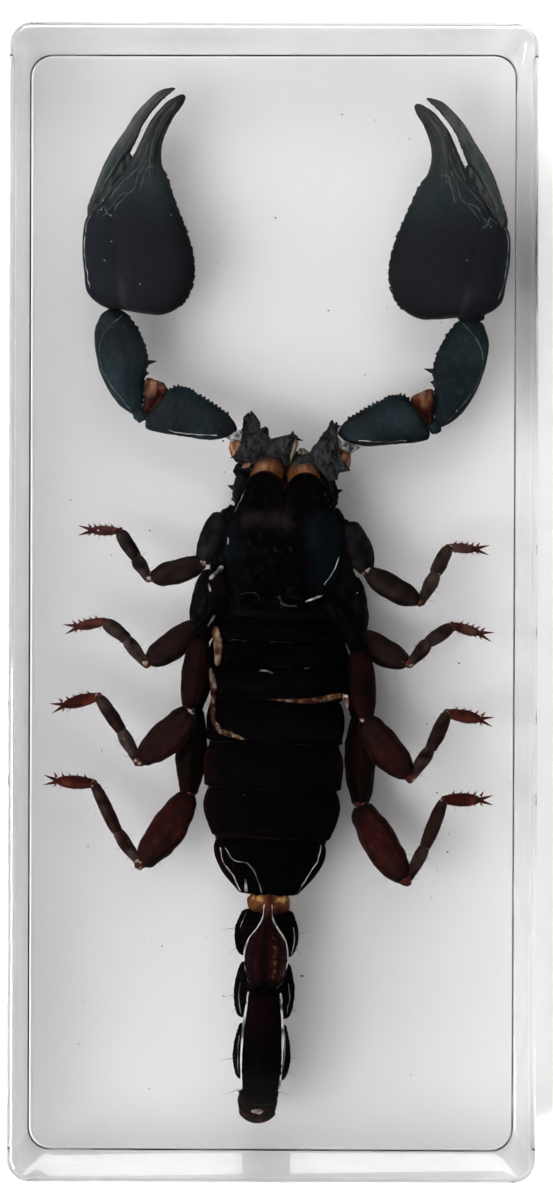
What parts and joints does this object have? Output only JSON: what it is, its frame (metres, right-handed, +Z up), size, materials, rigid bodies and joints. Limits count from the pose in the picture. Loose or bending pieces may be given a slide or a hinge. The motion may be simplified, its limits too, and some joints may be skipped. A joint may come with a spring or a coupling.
{
  "type": "scorpion in resin block",
  "caption": "Dried black scorpion with broad claws and a folded tail, cast in a clear resin block with rounded edges.",
  "frame": {"origin": "centre of the block's base, on the surface it lies on", "axes": "+Z up through the block's thickness; +Y along its length towards the scorpion's head; +X to the scorpion's right"},
  "size_m": [0.0684, 0.15, 0.024],
  "materials": {
    "clear_resin": "clear colourless cast resin, polished",
    "black_shell": "near-black hard shell with a faint blue-green sheen, satin",
    "leg_shell": "dark brown to red-brown hard shell, satin",
    "stinger_shell": "dark red-brown shell, glossy",
    "jaw_shell": "tan to dark brown shell",
    "joint_skin": "thin orange-tan joint skin, dried"
  },
  "bodies": {
    "root": {"resin_lower": "clear_resin", "resin_upper": "clear_resin", "abdomen_ring_1": "black_shell", "abdomen_ring_2": "black_shell", "abdomen_ring_3": "black_shell", "abdomen_ring_4": "black_shell", "abdomen_ring_5": "black_shell", "abdomen_ring_6": "black_shell", "abdomen_ring_7": "black_shell", "arm_base_left": "black_shell", "arm_base_right": "black_shell", "carapace": "black_shell", "finger_left": "black_shell", "finger_right": "black_shell", "forearm_left": "black_shell", "forearm_right": "black_shell", "hand_left": "black_shell", "hand_right": "black_shell", "shoulder_left": "black_shell", "shoulder_right": "black_shell", "tail_segment_1": "black_shell", "tail_segment_2": "black_shell", "tail_segment_3": "black_shell", "tail_segment_4": "black_shell", "tail_segment_5": "black_shell", "upper_arm_left": "black_shell", "upper_arm_right": "black_shell", "chest": "leg_shell", "leg_left_1": "leg_shell", "leg_left_2": "leg_shell", "leg_left_3": "leg_shell", "leg_left_4": "leg_shell", "leg_right_1": "leg_shell", "leg_right_2": "leg_shell", "leg_right_3": "leg_shell", "leg_right_4": "leg_shell", "stinger": "stinger_shell", "jaw_left": "jaw_shell", "jaw_right": "jaw_shell", "comb_left": "joint_skin", "comb_right": "joint_skin", "elbow_skin_left": "joint_skin", "elbow_skin_right": "joint_skin", "tail_root_skin": "joint_skin"}
  },
  "joints": []
}
